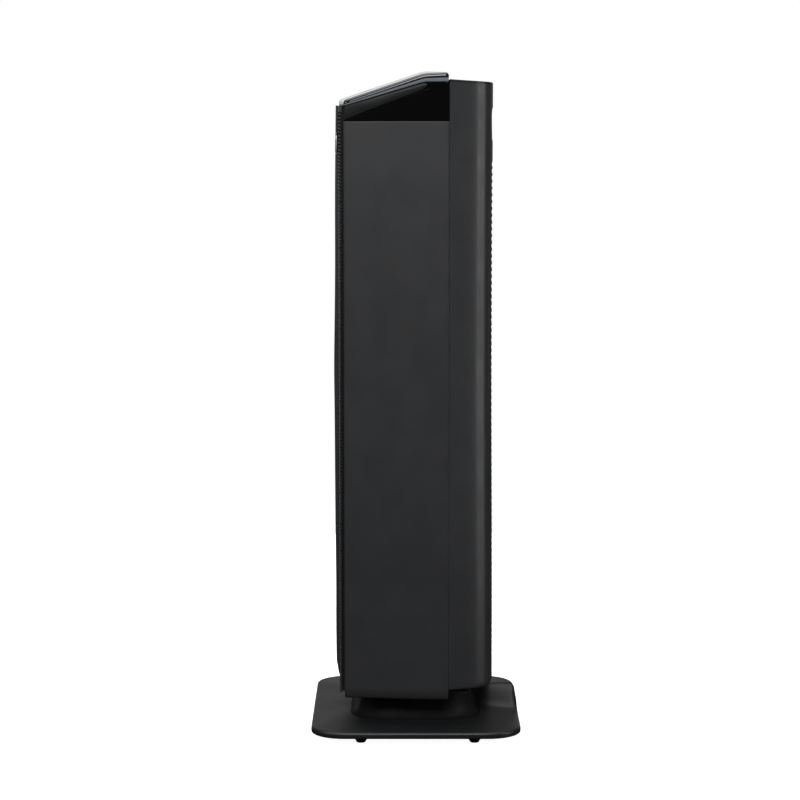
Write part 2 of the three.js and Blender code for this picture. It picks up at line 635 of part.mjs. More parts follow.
function makeRearCasing() {
  const block = cut(casingBlock(0, CASING_BOTTOM, CASING_TOP), slantCut(2.3));
  const hollow = cut(casingBlock(WALL, CASING_BOTTOM + 3, CASING_TOP, 20), slantCut(2.3 + WALL));
  const aperture = box(-DOOR_HALF - 0.4, DOOR_HALF + 0.4, 60, 120, CASING_BOTTOM + 3, DOOR_TOP + 0.4);
  const bayWalls = [-1, 1].map((s) => {
    const x = s * (DOOR_HALF + 1.6);
    return box(x - 1.2, x + 1.2, SEAM + 2, 76.5, CASING_BOTTOM + 2, DOOR_TOP + 3);
  });
  const ledge = box(-DOOR_HALF - 2, DOOR_HALF + 2, SEAM + 2, 80, DOOR_TOP + 0.4, DOOR_TOP + 2.8);
  const shelf = box(-DOOR_HALF - 2, DOOR_HALF + 2, SEAM + 2, 64, 628.4, 630.8);
  const tabs = [-1, 1].map((s) => box(s * 84 - 9, s * 84 + 9, SEAM + 2, SEAM + 4.4, 638, 654));
  const tabHoles = [-82, 82].map((x) => rodAlongY(2, x, 20, 60, 646, 12));
  const pinHoles = [-1, 1].map((s) =>
    rodAlongX(2 + GAP, s * 93 - 3, s * 93 + 3, DOOR_PIVOT_Y, DOOR_PIVOT_Z, 12),
  );
  const shell = cut(block, hollow, aperture);
  const whole = cut(join(shell, ...bayWalls, ledge, shelf, ...tabs), ...tabHoles, ...pinHoles);
  piece('rear_housing', whole, SATIN_BLACK);

  const trim = cut(casingBlock(0.2, CASING_TOP - 12, CASING_TOP + 2), slantCut(0));
  const under = casingBlock(-4, CASING_TOP - 20, CASING_TOP + 4, 0);
  piece('rear_top_trim', cut(trim, cut(under, slantCut(2))), GLOSS_BLACK);

  [-1, 1].forEach((s) => {
    const screw = join(
      rodAlongY(3.6, s * 82, SEAM + 4.7, SEAM + 7, 646, 12),
      rodAlongY(1.6, s * 82, GRID_Y + 0.4, SEAM + 5, 646, 12),
    );
    piece(`housing_screw_${s < 0 ? 'left' : 'right'}`, screw, STEEL);
  });
}

function makeRearDoor() {
  const arc = casingOutline(0.1).filter((p) => p.x < DOOR_HALF);
  const edge = point(DOOR_HALF, arc[0].y - 0.9);
  const outerRight = [edge, ...arc];
  const outer = [...outerRight, ...mirrored(outerRight).slice(1)];
  const inner = outer.map((p) => point(p.x, p.y - WALL)).reverse();
  const skin = upright([...outer, ...inner], DOOR_BOTTOM, DOOR_TOP);

  const tubBox = box(-RECESS_HALF - 2, RECESS_HALF + 2, 68, 90, RECESS_BOTTOM - 2, RECESS_TOP + 2);
  const tub = tubBox.intersect(casingBlock(0.8, RECESS_BOTTOM - 4, RECESS_TOP + 4));
  const scoop = loft([
    ringAt(roundedRectangle(RECESS_HALF - 5, 10, 8, 5), 0),
    ringAt(roundedRectangle(RECESS_HALF, 16.5, 14, 5), 16),
  ]);
  const scoopPlaced = scoop.rotate([-90, 0, 0]).translate([0, 70, (RECESS_BOTTOM + RECESS_TOP) / 2]);
  const latchSlot = box(-14.6, 14.6, 71.7, 75.9, 654, RECESS_TOP + 4);

  const rows = 12;
  const [fieldBottom, fieldTop] = [84, 622];
  const pitch = (fieldTop - fieldBottom) / rows;
  const slots = [];
  for (let i = 0; i < rows; i += 1) {
    const z = fieldBottom + i * pitch;
    slots.push(box(4, 80, 70, 90, z, z + pitch - 9), box(-80, -4, 70, 90, z, z + pitch - 9));
  }
  const earSpan = [DOOR_PIVOT_Y - 2, DOOR_PIVOT_Y + 3, DOOR_PIVOT_Z - 2, DOOR_PIVOT_Z + 5];
  const lugs = [-1, 1].map((s) =>
    join(
      rodAlongX(3.4, s * 85.5 - 2.5, s * 85.5 + 2.5, DOOR_PIVOT_Y, DOOR_PIVOT_Z, 16),
      box(s * 85.5 - 2.5, s * 85.5 + 2.5, ...earSpan),
    ),
  );
  const pinHole = rodAlongX(1.6 + GAP, -100, 100, DOOR_PIVOT_Y, DOOR_PIVOT_Z, 12);
  const pinEnds = join(box(78, 95, 60, 79, 60, 76), box(-95, -78, 60, 79, 60, 76));
  const clearOfPin = pinEnds.intersect(pinHole);
  const door = cut(join(skin, tub, ...lugs), scoopPlaced, latchSlot, clearOfPin, ...slots);
  piece('rear_door', door, SATIN_BLACK);

  const latch = join(box(-14, 14, 72, 75.6, 660, DOOR_TOP - 0.6), box(-14, 14, 72, 78.5, 660, 662.6));
  piece('door_latch', latch, BEZEL_GREY);

  [-1, 1].forEach((s) => {
    const [from, to] = s < 0 ? [-95, -83.4] : [83.4, 95];
    const pin = rodAlongX(1.6, from, to, DOOR_PIVOT_Y, DOOR_PIVOT_Z, 12);
    piece(`hinge_pin_${s < 0 ? 'left' : 'right'}`, pin, STEEL);
  });
}

// ---- filter cartridge ----
const FILTER_HALF = 87.5;
const FILTER_BOTTOM = 66;
const FILTER_TOP = 626;

function makeFilter() {
  const ring = (half, bottom, top) => rectangle(-half, bottom, half, top);
  const frame = backward(ring(FILTER_HALF, FILTER_BOTTOM, FILTER_TOP), 33.4, 61.4, [
    ring(FILTER_HALF - 3, FILTER_BOTTOM + 3, FILTER_TOP - 3),
  ]);
  const backLip = backward(ring(FILTER_HALF, FILTER_BOTTOM, FILTER_TOP), 60.4, 62, [
    ring(FILTER_HALF - 8, FILTER_BOTTOM + 8, FILTER_TOP - 8),
  ]);
  piece('filter_frame', join(frame, backLip), FILTER_WHITE);

  const gasket = backward(ring(FILTER_HALF, FILTER_BOTTOM, FILTER_TOP), 30.3, 33.1, [
    ring(FILTER_HALF - 6, FILTER_BOTTOM + 6, FILTER_TOP - 6),
  ]);
  piece('filter_gasket', gasket, RUBBER);

  const folds = 36;
  const half = FILTER_HALF - 3.6;
  const zigzag = Array.from({ length: folds + 1 }, (_, i) =>
    point(-half + (2 * half * i) / folds, i % 2 === 0 ? 35.4 : 58),
  );
  const back = zigzag.map((p) => point(p.x, p.y + 1.6)).reverse();
  piece('filter_pleats', upright([...zigzag, ...back], FILTER_BOTTOM + 3.6, FILTER_TOP - 3.6), FILTER_WHITE);

  const pad = roundedRectangle(FILTER_HALF - 1, 279, 5, 3, 0, (FILTER_BOTTOM + FILTER_TOP) / 2);
  piece('carbon_prefilter', backward(pad, 62.4, 66.4), CARBON);
}

// ---- fan and motor ----
function makeFan() {
  const [blades, inner, outer] = [14, FAN_RADIUS - 8, FAN_RADIUS - 0.6];
  const blade = [point(inner, -0.7), point(outer, 2.6), point(outer, 4), point(inner, 0.7)];
  const discs = [FAN_BOTTOM, (FAN_BOTTOM + FAN_TOP) / 2 - 1, FAN_TOP - 2].map((z) =>
    rod(FAN_RADIUS, 0, FAN_Y, z, z + 2, 28),
  );
  const vanes = Array.from({ length: blades }, (_, i) => {
    const turn = (i * 2 * Math.PI) / blades;
    const points = blade.map((p) => p.clone().rotateAround(point(0, 0), turn).add(point(0, FAN_Y)));
    return upright(points, FAN_BOTTOM + 1, FAN_TOP - 1);
  });
  const hub = rod(9, 0, FAN_Y, FAN_BOTTOM - 4, FAN_BOTTOM + 10);
  const bore = rod(SHAFT_RADIUS + GAP, 0, FAN_Y, FAN_BOTTOM - 10, FAN_TOP + 10);
  piece('fan_rotor', cut(join(...discs, ...vanes, hub), bore), INNER_PLASTIC);
  piece('fan_shaft', rod(SHAFT_RADIUS, 0, FAN_Y, 90, UPPER_BULKHEAD + 8), STEEL);

  const race = SHAFT_RADIUS + GAP;
  const bearing = [[race, 642], [6, 642], [6, 649], [race, 649], [race, 642]];
  piece('upper_bearing', turned(bearing, 0, FAN_Y), BRASS);
  const mount = [[6.3, 641.4], [9, 641.4], [9, 645.8], [13, 645.8], [13, 650], [6.3, 650], [6.3, 641.4]];
  piece('bearing_mount', turned(mount, 0, FAN_Y), RUBBER);

  const r = SHAFT_RADIUS + GAP;
  const can = [[r, 62], [30, 62], [32, 64], [32, 92], [30, 94], [12, 94], [10, 99], [r, 99], [r, 62]];
  piece('motor', turned(can, 0, FAN_Y, 24), STEEL);

  const arms = [0, 1, 2].map((i) => {
    const turn = (i * 2 * Math.PI) / 3 + Math.PI / 2;
    return point(Math.cos(turn) * 46, Math.sin(turn) * 46);
  });
  const disc = cut(rod(36, 0, FAN_Y, 100, 102.5, 24), rod(11, 0, FAN_Y, 90, 110));
  const ears = arms.map((p) => rod(10, p.x * 0.82, FAN_Y + p.y * 0.82, 100, 102.5, 12));
  const posts = arms.map((p) => rod(4.4, p.x * 0.86, FAN_Y + p.y * 0.86, 102, LOWER_BULKHEAD - GAP, 12));
  const holes = arms.map((p) => rod(1.9, p.x * 0.86, FAN_Y + p.y * 0.86, 90, 110, 8));
  piece('motor_bracket', cut(join(disc, ...ears, ...posts), ...holes), STEEL);
  arms.forEach((p, i) => {
    const tip = LOWER_BULKHEAD - 0.6;
    const profile = [[0, 96.6], [3.4, 96.6], [3.4, 99.7], [1.5, 99.7], [1.5, tip], [0, tip]];
    piece(`motor_screw_${i + 1}`, turned(profile, p.x * 0.86, FAN_Y + p.y * 0.86, 12), STEEL);
  });
}

// ---- wiring and boards ----
function makeElectrics() {
  const board = box(-98, -44, -66, 6, 68, 69.6);
  const transformer = box(-92, -66, -58, -34, 69, 90);
  const capacitor = rod(6, -56, -20, 69, 88);
  const relay = box(-90, -72, -16, -4, 69, 82);
  const legs = [[-94, -62], [-94, 2], [-48, 2]].map(([x, y]) => rod(2.4, x, y, PAN_TOP + GAP, 69, 10));
  piece('power_board', join(board, transformer, capacitor, relay, ...legs), BOARD_GREEN);

  const seat = PAN_TOP + 0.6;
  const gland = [[3.6, 44], [7.9, 44], [7.9, seat], [11, seat], [11, 57], [3.6, 57], [3.6, 44]];
  piece('cord_gland', turned(gland, 0, GLAND_Y), RUBBER);

  const motorLead = [[-43.4, -30, 66], [-40, -30, 66], [-36, -28, 66.5], [-32.8, -27, 68]];
  piece('motor_lead', wire(1.3, motorLead, 12), CARBON);
  const outside = -106.6;
  const controlLead = [
    [-98.5, -40, 74],
    [outside, -40, 76],
    [outside, -40, 100],
    [outside, -46, 360],
    [outside, -54, 620],
    [outside, -54, 648],
    [-98, -54, 651],
    [-80, -50, 661],
    [-72, -44, 669],
  ];
  piece('control_lead', wire(1.3, controlLead, 48), CARBON);
}

makeBase();
makeSidePanels();
makeInnerStructure();
makeDuct();
makeFront();
makeHead();
makeCap();
makeRearCasing();
makeRearDoor();
makeFilter();
makeFan();
makeElectrics();

export default purifier;
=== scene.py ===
"""A tower air purifier on a pedestal base: its looks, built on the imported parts.

Lengths are millimetres in the part's frame and become metres where a mesh is made.
X runs left to right seen from the front, Y to the rear, Z up from the floor.
"""
import json
import math

import bmesh
import bpy
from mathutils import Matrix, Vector


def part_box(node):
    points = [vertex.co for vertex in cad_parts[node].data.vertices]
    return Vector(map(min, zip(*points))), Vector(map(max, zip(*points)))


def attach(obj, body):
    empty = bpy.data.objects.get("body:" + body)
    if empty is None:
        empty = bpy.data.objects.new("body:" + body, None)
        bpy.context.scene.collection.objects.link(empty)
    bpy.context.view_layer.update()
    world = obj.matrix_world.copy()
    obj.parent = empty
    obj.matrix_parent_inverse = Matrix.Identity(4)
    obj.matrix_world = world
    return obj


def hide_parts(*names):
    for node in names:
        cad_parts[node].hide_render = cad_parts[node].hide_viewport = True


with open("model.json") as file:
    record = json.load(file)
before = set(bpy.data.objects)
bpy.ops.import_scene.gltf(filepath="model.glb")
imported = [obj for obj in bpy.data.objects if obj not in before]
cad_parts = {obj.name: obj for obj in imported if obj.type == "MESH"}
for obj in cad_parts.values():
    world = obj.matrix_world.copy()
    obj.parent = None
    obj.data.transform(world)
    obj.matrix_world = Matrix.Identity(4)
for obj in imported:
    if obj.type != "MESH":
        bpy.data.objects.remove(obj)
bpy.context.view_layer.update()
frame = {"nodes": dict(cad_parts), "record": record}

MM = 0.001


def corners(node):
    """Lowest and highest corner of a CAD node, in millimetres."""
    low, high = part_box(node)
    return low / MM, high / MM


BASE_LOW, BASE_HIGH = corners("base_cover")
PANEL_LOW, PANEL_HIGH = corners("right_side_panel")
CAP_HIGH = corners("top_cap")[1]
BEZEL_LOW = corners("control_bezel")[0]
GRILLE_LOW, GRILLE_HIGH = corners("front_grille")
SPINE_LOW, SPINE_HIGH = corners("front_spine")
BADGE_LOW, BADGE_HIGH = corners("badge")
CASING_LOW, CASING_HIGH = corners("rear_housing")
DOOR_LOW, DOOR_HIGH = corners("rear_door")

SEAM = PANEL_HIGH.y  # where the side panels meet the rear casing
BODY_FRONT = PANEL_LOW.y  # front edge of the side panels
HALF_SEAM = PANEL_HIGH.x  # half width at the seam
HALF_FRONT = HALF_SEAM - 10  # half width at the front edge
CREASE = 12  # depth of the upright crease in the side panels

KINK = 7.8  # depth where the cap's slope meets its flat
KINK_HEIGHT = 706.2  # height of the cap's side edge there
SLOPE = 0.3407  # rise of the cap's slope per millimetre of depth
CROWN = 4.2  # how far the cap's middle stands above its sides
CAP_BOW = 7.4  # how far the cap's front edge bows forward
CAP_SKIRT = 697.5  # lower edge of the cap behind the kink

BASE_CORNER = 36  # corner radius of the base seen from above
NECK_HALF = (82, 59)  # half width and half depth of the neck under the body
NECK_CORNER = 30
RIM_TOP = 15.6  # top of the base's rim
DOME_TOP = 18.8  # height of the base's top face at the foot of the neck

RIB_PITCH = 3.7  # spacing of the front grille's ribs
BADGE_NOTCH = 1.6  # how deep the spine is cut across behind the badge
LOUVRE_PITCH, LOUVRE_BAR = 7.2, 2.6  # spacing of the door's louvres, and height of each bar
RECESS_LOW, RECESS_HIGH, RECESS_DEPTH = 635, 671, 11.5  # finger recess in the door
DOOR_GAP = 0.4  # between the door and the casing round it

SHARP = math.radians(38)  # an edge that turns by more than this stays hard in the shading


# ---- materials ----
def look(name, color, roughness, metallic=0.0, grain=900, bump=0.08, shade=0.12, spread=0.06, **sockets):
    """A moulded or machined surface: a fine grain in its bump, slow drifts in its colour and roughness."""
    made = bpy.data.materials.new(name)
    made.use_nodes = True
    nodes, links = made.node_tree.nodes, made.node_tree.links
    shader = nodes["Principled BSDF"]
    shader.inputs["Metallic"].default_value = metallic
    for socket, value in sockets.items():
        shader.inputs[socket.replace("_", " ")].default_value = value

    place = nodes.new("ShaderNodeTexCoord").outputs["Object"]

    def noise(scale, detail):
        node = nodes.new("ShaderNodeTexNoise")
        node.inputs["Scale"].default_value = scale
        node.inputs["Detail"].default_value = detail
        links.new(place, node.inputs["Vector"])
        return node.outputs["Fac"]

    def ranged(value, low, high):
        node = nodes.new("ShaderNodeMapRange")
        node.inputs["From Min"].default_value = 0.3
        node.inputs["From Max"].default_value = 0.7
        node.inputs["To Min"].default_value = low
        node.inputs["To Max"].default_value = high
        links.new(value, node.inputs["Value"])
        return node.outputs["Result"]

    drift = noise(9, 4)
    tint = nodes.new("ShaderNodeMix")
    tint.data_type = "RGBA"
    tint.inputs["A"].default_value = (*[c * (1 - shade) for c in color], 1)
    tint.inputs["B"].default_value = (*[c * (1 + shade) for c in color], 1)
    links.new(ranged(drift, 0, 1), tint.inputs["Factor"])
    links.new(tint.outputs["Result"], shader.inputs["Base Color"])
    fine = noise(grain, 2)
    smear = noise(38, 5)
    mixed = nodes.new("ShaderNodeMath")
    mixed.operation = "ADD"
    links.new(ranged(smear, roughness - spread, roughness + spread), mixed.inputs[0])
    links.new(ranged(fine, -spread / 3, spread / 3), mixed.inputs[1])
    links.new(mixed.outputs["Value"], shader.inputs["Roughness"])
    relief = nodes.new("ShaderNodeBump")
    relief.inputs["Strength"].default_value = bump
    relief.inputs["Distance"].default_value = 0.0004
    links.new(fine, relief.inputs["Height"])
    links.new(relief.outputs["Normal"], shader.inputs["Normal"])
    return made


LOOKS = {
    "satin_shell": look("satin_shell", (0.027, 0.0278, 0.0298), 0.42, bump=0.14, shade=0.06, spread=0.04),
    "base_shell": look("base_shell", (0.009, 0.0095, 0.0105), 0.43, bump=0.06, shade=0.06, spread=0.03),
    "gloss_black": look("gloss_black", (0.002, 0.002, 0.0024), 0.07, bump=0.01, spread=0.02),
    "smoked_cap": look("smoked_cap", (0.010, 0.0115, 0.014), 0.08, bump=0.01, spread=0.02, Coat_Weight=0.4),
    "bezel": look("bezel", (0.008, 0.0083, 0.0088), 0.4, bump=0.1, Specular_IOR_Level=0.28),
    "badge_silver": look("badge_silver", (0.4, 0.4, 0.41), 0.45, metallic=0.45, grain=2600, bump=0.05),
    "inner_plastic": look("inner_plastic", (0.03, 0.031, 0.032), 0.6, bump=0.2),
    "steel": look("steel", (0.46, 0.46, 0.47), 0.34, metallic=1.0, grain=1800, bump=0.1),
    "rubber": look("rubber", (0.012, 0.012, 0.012), 0.8, grain=1500, bump=0.3),
    "board": look("board", (0.012, 0.06, 0.028), 0.45, grain=1200, bump=0.15),
    "filter_media": look("filter_media", (0.72, 0.72, 0.68), 0.9, grain=2200, bump=0.6, shade=0.05),
    "carbon": look("carbon", (0.012, 0.012, 0.012), 0.95, grain=650, bump=1.0, shade=0.4),
    "filter_case": look("filter_case", (0.66, 0.66, 0.63), 0.6, grain=1400, bump=0.15, shade=0.04),
    "brass": look("brass", (0.48, 0.33, 0.11), 0.32, metallic=1.0, grain=1500, bump=0.1),
    "lead": look("lead", (0.014, 0.014, 0.014), 0.5, grain=1600, bump=0.15),
}
# Painted shade: a darker, duller black for the neck under the body and for the grille's posts, standing in
# for the shade that falls there.
PAINTED_SHADE_MATTE = look("painted_shade_matte", (0.006, 0.0063, 0.007), 0.62, grain=1200, bump=0.1, shade=0.08,
            Specular_IOR_Level=0.2)
# Painted highlight: a light blue-grey band along the lower edge of the cap's skirt, standing in for a
# reflection.
CAP_PAINTED_HIGHLIGHT = look("smoked_cap_painted_highlight", (0.20, 0.222, 0.262), 0.22, bump=0.01, spread=0.02, shade=0.05)
PRINT = look("printed_mark", (0.3, 0.3, 0.31), 0.5, grain=1500, bump=0.05)


# ---- mesh helpers ----
def build(name, verts, faces, slot, body="housing", replaces=(), looks=None, indices=None):
    """A smooth-shaded mesh from millimetres, riding on a body and standing for the CAD nodes named."""
    mesh = bpy.data.meshes.new(name)
    mesh.from_pydata([tuple(c * MM for c in v) for v in verts], [], faces)
    work = bmesh.new()
    work.from_mesh(mesh)
    bmesh.ops.recalc_face_normals(work, faces=work.faces)
    work.to_mesh(mesh)
    work.free()
    for material in looks or [LOOKS[slot]]:
        mesh.materials.append(material)
    if indices:
        mesh.polygons.foreach_set("material_index", indices)
    mesh.polygons.foreach_set("use_smooth", [True] * len(mesh.polygons))
    mesh.set_sharp_from_angle(angle=SHARP)
    piece = bpy.data.objects.new(name, mesh)
    bpy.context.scene.collection.objects.link(piece)
    if body:
        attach(piece, body)
    if replaces:
        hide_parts(*replaces)
    return piece


def soften(piece, width, segments=2):
    """Rounds the hard edges by width millimetres and keeps the flats flat."""
    bevel = piece.modifiers.new("edges", "BEVEL")
    bevel.width = width * MM
    bevel.segments = segments
    bevel.limit_method = "ANGLE"
    bevel.angle_limit = SHARP
    bevel.harden_normals = True
    return piece


def settle(piece):
    """Makes the piece's modifiers part of its mesh."""
    graph = bpy.context.evaluated_depsgraph_get()
    mesh = bpy.data.meshes.new_from_object(piece.evaluated_get(graph))
    piece.modifiers.clear()
    piece.data = mesh
    return piece


def carve(piece, *tools):
    """Cuts the tools' shapes out of the piece."""
    for tool in tools:
        cut = piece.modifiers.new("cut", "BOOLEAN")
        cut.object = tool
        cut.solver = "EXACT"
    settle(piece)
    for tool in tools:
        bpy.data.objects.remove(tool)
    piece.data.set_sharp_from_angle(angle=SHARP)
    return piece


def thicken(piece, depth):
    """Gives a sheet its wall, on the inner side."""
    wall = piece.modifiers.new("wall", "SOLIDIFY")
    wall.thickness = depth * MM
    wall.offset = -1
    wall.use_even_offset = True
    settle(piece)
    piece.data.set_sharp_from_angle(angle=SHARP)
    return piece


def loft(rings, ends=True):
    """Vertices and faces of rings of equal count joined one to the next."""
    count = len(rings[0])
    verts = [p for ring in rings for p in ring]
    faces = []
    for i in range(len(rings) - 1):
        for j in range(count):
            a, b = i * count + j, i * count + (j + 1) % count
            faces.append((a, b, b + count, a + count))
    if ends:
        faces.append(tuple(reversed(range(count))))
        faces.append(tuple(range(len(verts) - count, len(verts))))
    return verts, faces


def grid(rows, keep=None):
    """Vertices and faces of a sheet of rows; keep says which cells have a face."""
    count = len(rows[0])
    verts = [p for row in rows for p in row]
    faces = []
    for i in range(len(rows) - 1):
        for j in range(count - 1):
            if keep is None or keep(i, j):
                a = i * count + j
                faces.append((a, a + 1, a + 1 + count, a + count))
    return verts, faces


def spline(points, per_span):
    """A smooth line through points in the plane."""
    padded = [points[0], *points, points[-1]]
    line = []
    for i in range(1, len(padded) - 2):
        p0, p1, p2, p3 = (Vector(p) for p in padded[i - 1 : i + 3])
        for k in range(per_span):
            t = k / per_span
            line.append(
                0.5 * (2 * p1 + (p2 - p0) * t + (2 * p0 - 5 * p1 + 4 * p2 - p3) * t**2
                       + (3 * p1 - p0 - 3 * p2 + p3) * t**3)
            )
    return [*line, Vector(points[-1])]


def rounded_outline(half_x, half_y, radius, per_side=44, per_corner=10):
    """A rounded rectangle, anticlockwise, with points along its sides as well as round its corners."""
    points = []
    for k, (sx, sy) in enumerate([(1, 1), (-1, 1), (-1, -1), (1, -1)]):
        centre = Vector((sx * (half_x - radius), sy * (half_y - radius)))
        for i in range(per_corner + 1):
            turn = (k + i / per_corner) * math.pi / 2
            points.append(centre + radius * Vector((math.cos(turn), math.sin(turn))))
        nx, ny = [(-1, 1), (-1, -1), (1, -1), (1, 1)][k]
        target = Vector((nx * (half_x - radius), ny * (half_y - radius)))
        turn = (k + 1) * math.pi / 2
        target += radius * Vector((math.cos(turn), math.sin(turn)))
        start = points[-1]
        points.extend(start.lerp(target, i / per_side) for i in range(1, per_side))
    return points


def smooth_max(a, b, blend):
    """The larger of two heights, with a fillet of about that size between them."""
    share = max(0.0, min(1.0, 0.5 + 0.5 * (a - b) / blend))
    return b + (a - b) * share + blend * share * (1 - share)


def smoothstep(low, high, value):
    """0 at low and 1 at high, with an even ease between; low may be the larger."""
    t = max(0.0, min(1.0, (value - low) / (high - low)))
    return t * t * (3 - 2 * t)


def circle_points(radius, x, y, count):
    """Points round a circle in the plane."""
    turns = [2 * math.pi * i / count for i in range(count)]
    return [(x + radius * math.cos(turn), y + radius * math.sin(turn)) for turn in turns]


def quarter_round(count):
    """A quarter round in that many steps: pairs that go from 0 to 1, the first fast and the second slowly."""
    turns = [math.pi / 2 * k / count for k in range(count + 1)]
    return [(math.sin(turn), 1 - math.cos(turn)) for turn in turns]


# ---- outlines that several pieces share ----
def half_width(y):
    """Half width of the body at a depth: it widens from the front edge to the crease."""
    share = (min(y, CREASE) - BODY_FRONT) / (CREASE - BODY_FRONT)
    return HALF_FRONT + (HALF_SEAM - HALF_FRONT) * max(share, 0)


def edge_height(y):
    """Height of the cap's top edge at its sides."""
    return KINK_HEIGHT + (y - KINK) * (SLOPE * 0.982 if y < KINK else 0.05)


def crown_height(y):
    """How much the cap's middle stands above its sides; less towards the rear."""
    return CROWN * (1 - 0.6 * max(0.0, y - KINK) / (SEAM - KINK))


def skirt_height(y):
    """Height of the cap's lower edge."""
    return CAP_SKIRT - 0.2 + (y - KINK) * 0.288 if y < KINK else CAP_SKIRT


# ---- base ----
def hump_height(x, y):
    """Height of the cord ridge: a bell that spreads to the rear and rounds off at its end."""
    start, end_radius, below_ground = 40, 6, -20
    half = 30 + 16 * (y - start) / (BASE_HIGH.y - start)
    if abs(x) >= half or y < start:
        return below_ground
    bell = (0.5 + 0.5 * math.cos(math.pi * x / half)) ** 1.15
    past = max(0.0, y - (BASE_HIGH.y - end_radius)) / (end_radius + 0.01)
    end = math.sqrt(max(0.0, 1 - past**2))
    return 13 + 26 * bell * end


def make_base():
    """One skin from the hollow underside over the rim and the low dome to the neck, with a cord channel."""
    bottom, neck_top = BASE_LOW.z, BASE_HIGH.z
    ceiling, lower_round, upper_round, fillet = 12.4, 1.6, 2.6, 9
    half_x, half_y = BASE_HIGH.x, BASE_HIGH.y
    outer = lambda inset: rounded_outline(half_x - inset, half_y - inset, BASE_CORNER - min(inset, 12))
    neck = lambda grow: rounded_outline(*(half + grow for half in NECK_HALF), NECK_CORNER + grow)
    rings = []

    def ring(points, z):
        rings.append([(p.x, p.y, z) for p in points])

    for inset, z in ((60, ceiling), (3.4, ceiling), (3, 11.6), (3, bottom + 0.3), (2.6, bottom)):
        ring(outer(inset), z)
    for fast, slow in quarter_round(6):
        ring(outer(lower_round - lower_round * fast), bottom + lower_round * slow)
    first_lifted = len(rings) + 3
    for fast, slow in quarter_round(8):
        ring(outer(upper_round * slow), RIM_TOP - upper_round + upper_round * fast)
    first, last = outer(upper_round), neck(fillet)
    steps = 16
    for k in range(1, steps + 1):
        share = k / steps
        height = RIM_TOP + (DOME_TOP - RIM_TOP) * share**1.3
        ring([p.lerp(q, share) for p, q in zip(first, last)], height)
    first_neck = len(rings) - 2
    steps = 11
    for k in range(1, steps + 1):
        share = k / steps
        grow = fillet * (1 - math.sin(share * math.pi / 2)) ** 1.25
        ring(neck(grow), DOME_TOP + (neck_top - DOME_TOP - 6) * share**1.6)
    ring(neck(0), neck_top)
    ring(neck(-20), neck_top)

    def lifted(x, y, z):
        """The point, raised to the cord ridge where that stands higher."""
        ridge_limit, blend = 46, 7
        return x, y, smooth_max(z, hump_height(x, y), blend) if z < ridge_limit else z

    rings[first_lifted:] = [[lifted(*p) for p in points] for points in rings[first_lifted:]]
    verts, faces = loft(rings)
    count = len(rings[0])
    # The neck's faces take the painted-shade material: a darker, duller black where shade falls under the
    # body.
    indices = [int(first_neck * count <= k < (len(rings) - 1) * count) for k in range(len(faces))]
    cover = build("base_cover_shell", verts, faces, "base_shell", replaces=["base_cover"],
                  looks=[LOOKS["base_shell"], PAINTED_SHADE_MATTE], indices=indices)

    radius, centre, foot = 12.5, 21.5, 4
    turns = [math.pi * i / 16 for i in range(17)]
    arch = [(radius * math.cos(turn), centre + radius * math.sin(turn)) for turn in turns]
    arch += [(-radius, foot), (radius, foot)]
    channel = loft([[(x, y, z) for x, z in arch] for y in (64, BASE_HIGH.y + 10)])
    carve(cover, build("tool", *channel, "base_shell", body=None))


# ---- front grille, spine and badge ----
def grille_front(x):
    """Front of the ribs, which fall back towards their ends."""
    return GRILLE_LOW.y + 1.2 + 2.5 * (x / GRILLE_HIGH.x) ** 2


def make_grille():
    """Fine ribs between two bands, with upright bars behind them and a post at each side."""
    half, columns = GRILLE_HIGH.x, 36
    bottom, top = GRILLE_LOW.z, GRILLE_HIGH.z
    xs = [-half + 2 * half * i / columns for i in range(columns + 1)]
    rib = [(0, -0.35), (0.35, -0.9), (1.1, -1.05), (2.1, -0.9)]
    rib += [(depth, -height) for depth, height in reversed(rib)]
    verts, faces = [], []

    def add(part):
        new_verts, new_faces = part
        faces.extend(tuple(k + len(verts) for k in face) for face in new_faces)
        verts.extend(new_verts)

    def add_strip(section, height):
        """A strip that follows the bow of the grille."""
        add(loft([[(x, grille_front(x) + dy, height + dz) for dy, dz in section] for x in xs]))

    def upright_box(x0, x1, y0, y1, z0, z1):
        return loft([[(x0, y0, z), (x1, y0, z), (x1, y1, z), (x0, y1, z)] for z in (z0, z1)])

    count = int((top - bottom - 9) / RIB_PITCH)
    for i in range(count):
        add_strip(rib, bottom + 6 + i * RIB_PITCH)
    for low, high in ((bottom, bottom + 4.4), (bottom + count * RIB_PITCH + 4.6, top)):
        add_strip([(0, 0), (0, high - low), (3, high - low), (3, 0)], low)
    for sign in (-1, 1):
        for x in [sign * (12 + 17.4 * k) for k in range(1, 5)]:
            y = grille_front(x) + 2.3
            add(upright_box(x - 0.9, x + 0.9, y, y + 5, bottom + 2, top - 4))
    build("front_grille_ribs", verts, faces, "satin_shell", replaces=["front_grille"])

    y = grille_front(half) + 2.1
    posts = {
        "middle": (-11, 11, GRILLE_LOW.y + 0.3, -76.5),
        "left": (-101, -97, y, GRILLE_HIGH.y),
        "right": (97, 101, y, GRILLE_HIGH.y),
    }
    for name, span in posts.items():
        post = upright_box(*span, bottom + 1, top - 1)
        # The posts take the painted-shade material: darker, for the shade that falls behind the ribs.
        build(f"front_grille_{name}_post", *post, "satin_shell", looks=[PAINTED_SHADE_MATTE])


def spine_front(z):
    """Front of the spine at its middle: it bulges gently at mid height."""
    share = (z - 376) / 310
    swell = 0.5 * math.exp(-(((z - 500) / 55) ** 2)) - 0.5 * math.exp(-(((z - 390) / 38) ** 2))
    return SPINE_LOW.y - 1.0 + 2.2 * share**2 + swell - 0.8 * smoothstep(170, 90, z)


